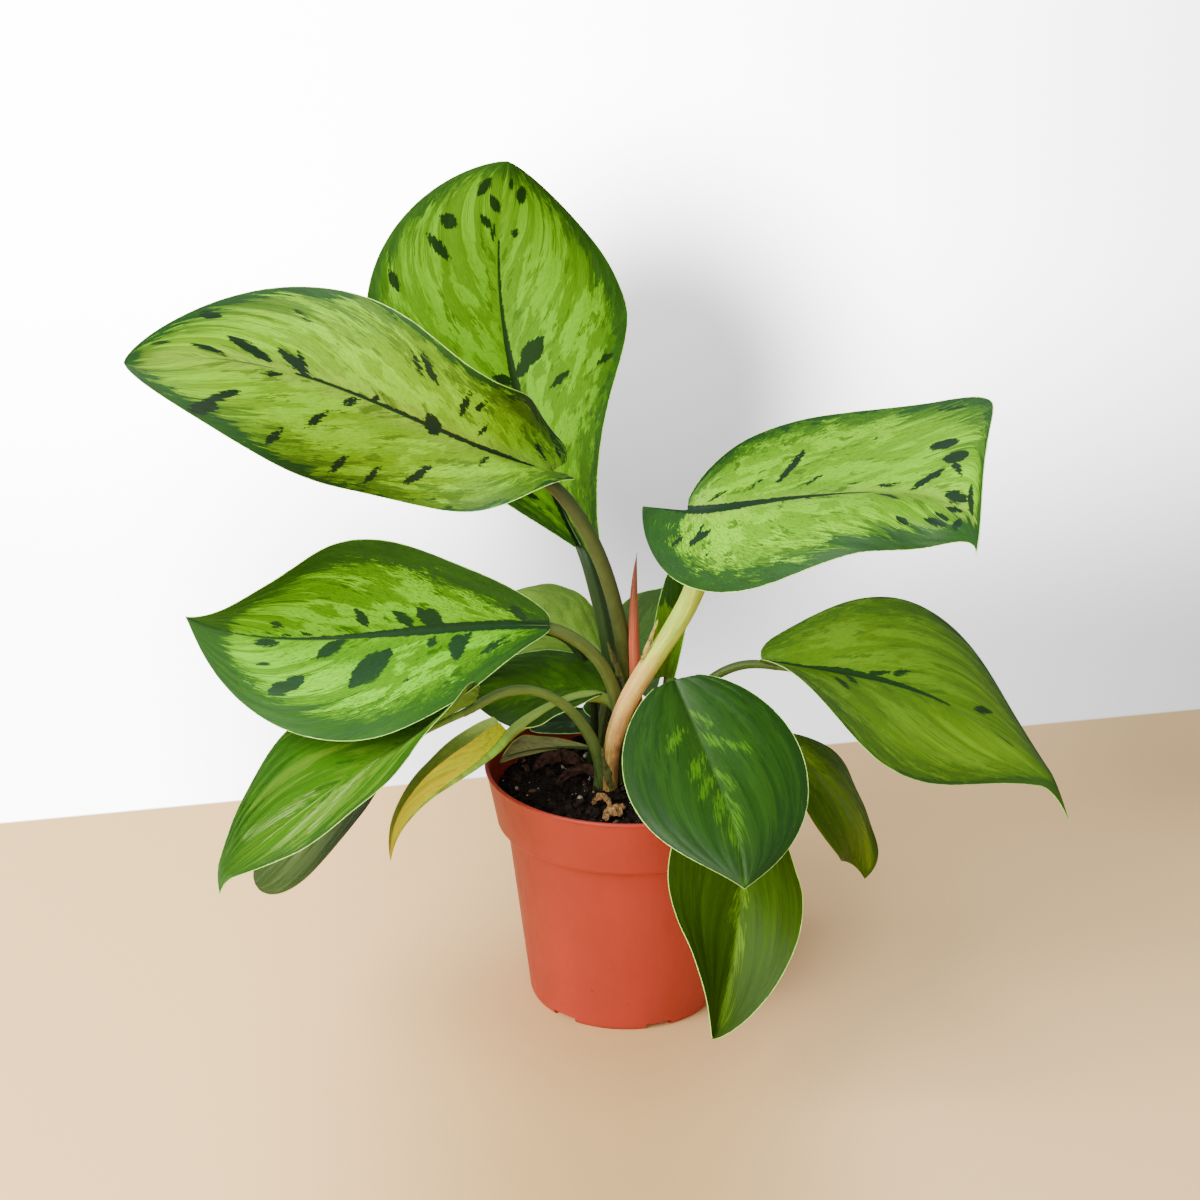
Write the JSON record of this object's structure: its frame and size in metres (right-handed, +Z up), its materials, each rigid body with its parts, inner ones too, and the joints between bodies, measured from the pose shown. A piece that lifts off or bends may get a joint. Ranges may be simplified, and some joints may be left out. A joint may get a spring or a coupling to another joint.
{
  "type": "potted homalomena",
  "caption": "Young variegated homalomena: a clump of pointed leaves on long curved stalks, growing in a small tapered nursery pot filled with soil.",
  "frame": {"origin": "centre of the pot's flat underside, on the surface that the pot stands on", "axes": "+Z up along the pot's axis; +Y to the plant's back, so -Y is the side seen from the front; +X to the right as seen from the front"},
  "size_m": [0.377, 0.2676, 0.338],
  "materials": {
    "pot_plastic": "satin moulded plastic, terracotta red",
    "soil": "moist dark potting mix with perlite and bark",
    "leaf_variegated": "waxy leaf, pale green with dark blotches and margin",
    "leaf_dark": "waxy dark green leaf with a cream edge",
    "leaf_plain": "soft light green young leaf",
    "leaf_yellow": "ageing yellow leaf",
    "leaf_dead": "dull grey-green dead leaf",
    "stalk": "smooth olive green stalk",
    "stalk_pale": "pale cream stalk, pink towards its foot",
    "bud": "smooth coral red rolled leaf",
    "dry_scrap": "dry papery brown"
  },
  "bodies": {
    "root": {"pot": "pot_plastic", "soil": "soil", "leaf_upper_left": "leaf_variegated", "stalk_upper_left": "stalk", "leaf_top": "leaf_variegated", "stalk_top": "stalk", "leaf_upper_right": "leaf_variegated", "stalk_upper_right": "stalk_pale", "leaf_mid_left": "leaf_variegated", "stalk_mid_left": "stalk", "leaf_lower_left": "leaf_variegated", "stalk_lower_left": "stalk", "leaf_under_left": "leaf_dark", "stalk_under_left": "stalk", "leaf_yellow": "leaf_yellow", "stalk_yellow": "stalk", "leaf_inner_left": "leaf_dark", "stalk_inner_left": "stalk", "leaf_back_left": "leaf_plain", "stalk_back_left": "stalk", "leaf_back_right": "leaf_dark", "stalk_back_right": "stalk", "leaf_back_upright": "leaf_plain", "stalk_back_upright": "stalk", "leaf_tiny_back": "leaf_dark", "stalk_tiny_back": "stalk", "leaf_front_right": "leaf_dark", "stalk_front_right": "stalk", "leaf_front_low": "leaf_dark", "stalk_front_low": "stalk", "leaf_right_small": "leaf_plain", "stalk_right_small": "stalk", "leaf_right": "leaf_variegated", "stalk_right": "stalk", "leaf_tucked": "leaf_dark", "stalk_tucked": "stalk", "leaf_fallen": "leaf_dead", "bud": "bud", "dry_sheath": "dry_scrap", "dry_strip": "dry_scrap"}
  },
  "joints": []
}
